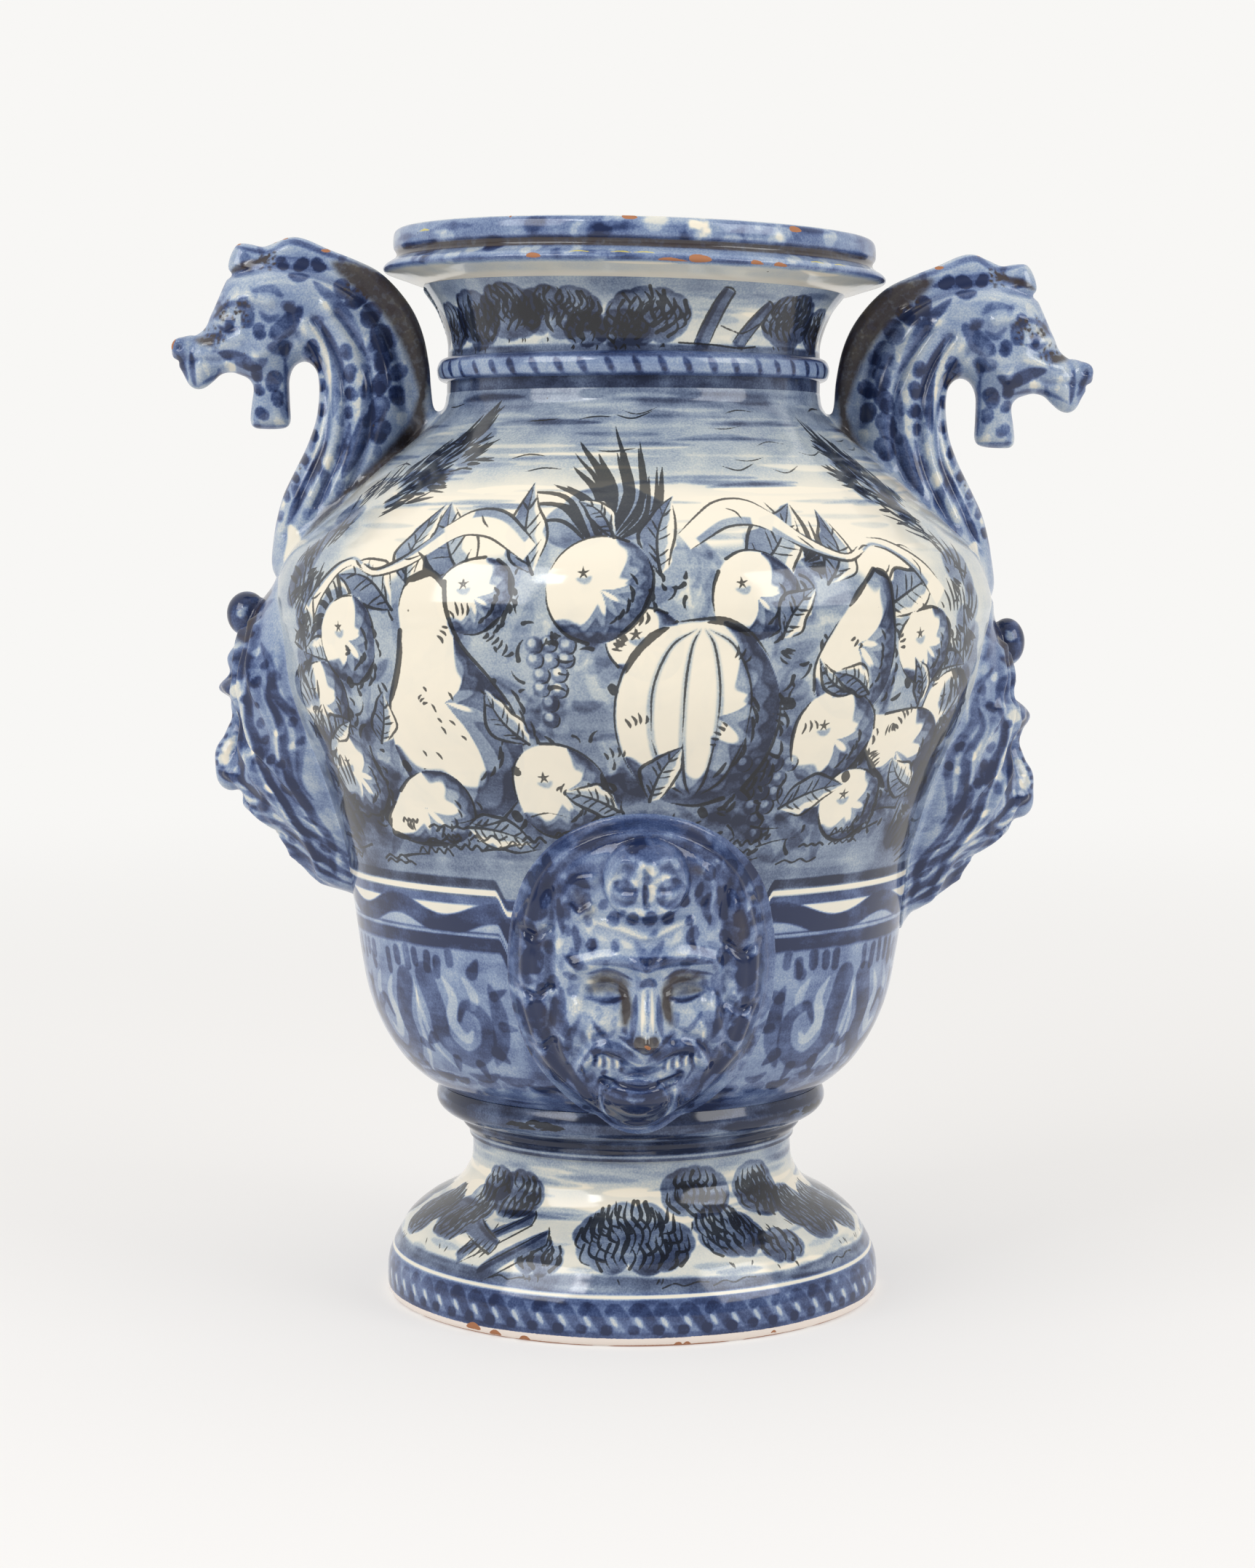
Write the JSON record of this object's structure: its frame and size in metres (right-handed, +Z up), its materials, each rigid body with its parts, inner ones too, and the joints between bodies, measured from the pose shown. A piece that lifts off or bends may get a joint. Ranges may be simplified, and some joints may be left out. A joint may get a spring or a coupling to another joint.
{
  "type": "two-handled ceramic amphora",
  "caption": "Tin-glazed pedestal vase with an open throat, a flanged rim, dragon-headed side handles and applied masks, painted in blue on cream.",
  "frame": {"origin": "centre of the foot's underside, on the surface that the amphora stands on", "axes": "+Z up along the turning axis, handles along X, front mask facing -Y"},
  "size_m": [0.382, 0.298, 0.4423],
  "materials": {
    "painted_glaze": "glossy tin glaze painted in cobalt blue and dark brown on cream",
    "relief_glaze": "glossy tin glaze washed and dabbed in cobalt blue"
  },
  "bodies": {
    "root": {"foot": "painted_glaze", "waist_ring": "painted_glaze", "bowl": "painted_glaze", "belly": "painted_glaze", "neck": "painted_glaze", "neck_bead": "relief_glaze", "rim": "relief_glaze", "handle_neck_left": "relief_glaze", "dragon_head_left": "relief_glaze", "dragon_crest_left": "relief_glaze", "dragon_beard_left": "relief_glaze", "handle_neck_right": "relief_glaze", "dragon_head_right": "relief_glaze", "dragon_crest_right": "relief_glaze", "dragon_beard_right": "relief_glaze", "mask_front": "relief_glaze", "mask_back": "relief_glaze", "mask_left": "relief_glaze", "mask_right": "relief_glaze"}
  },
  "joints": []
}
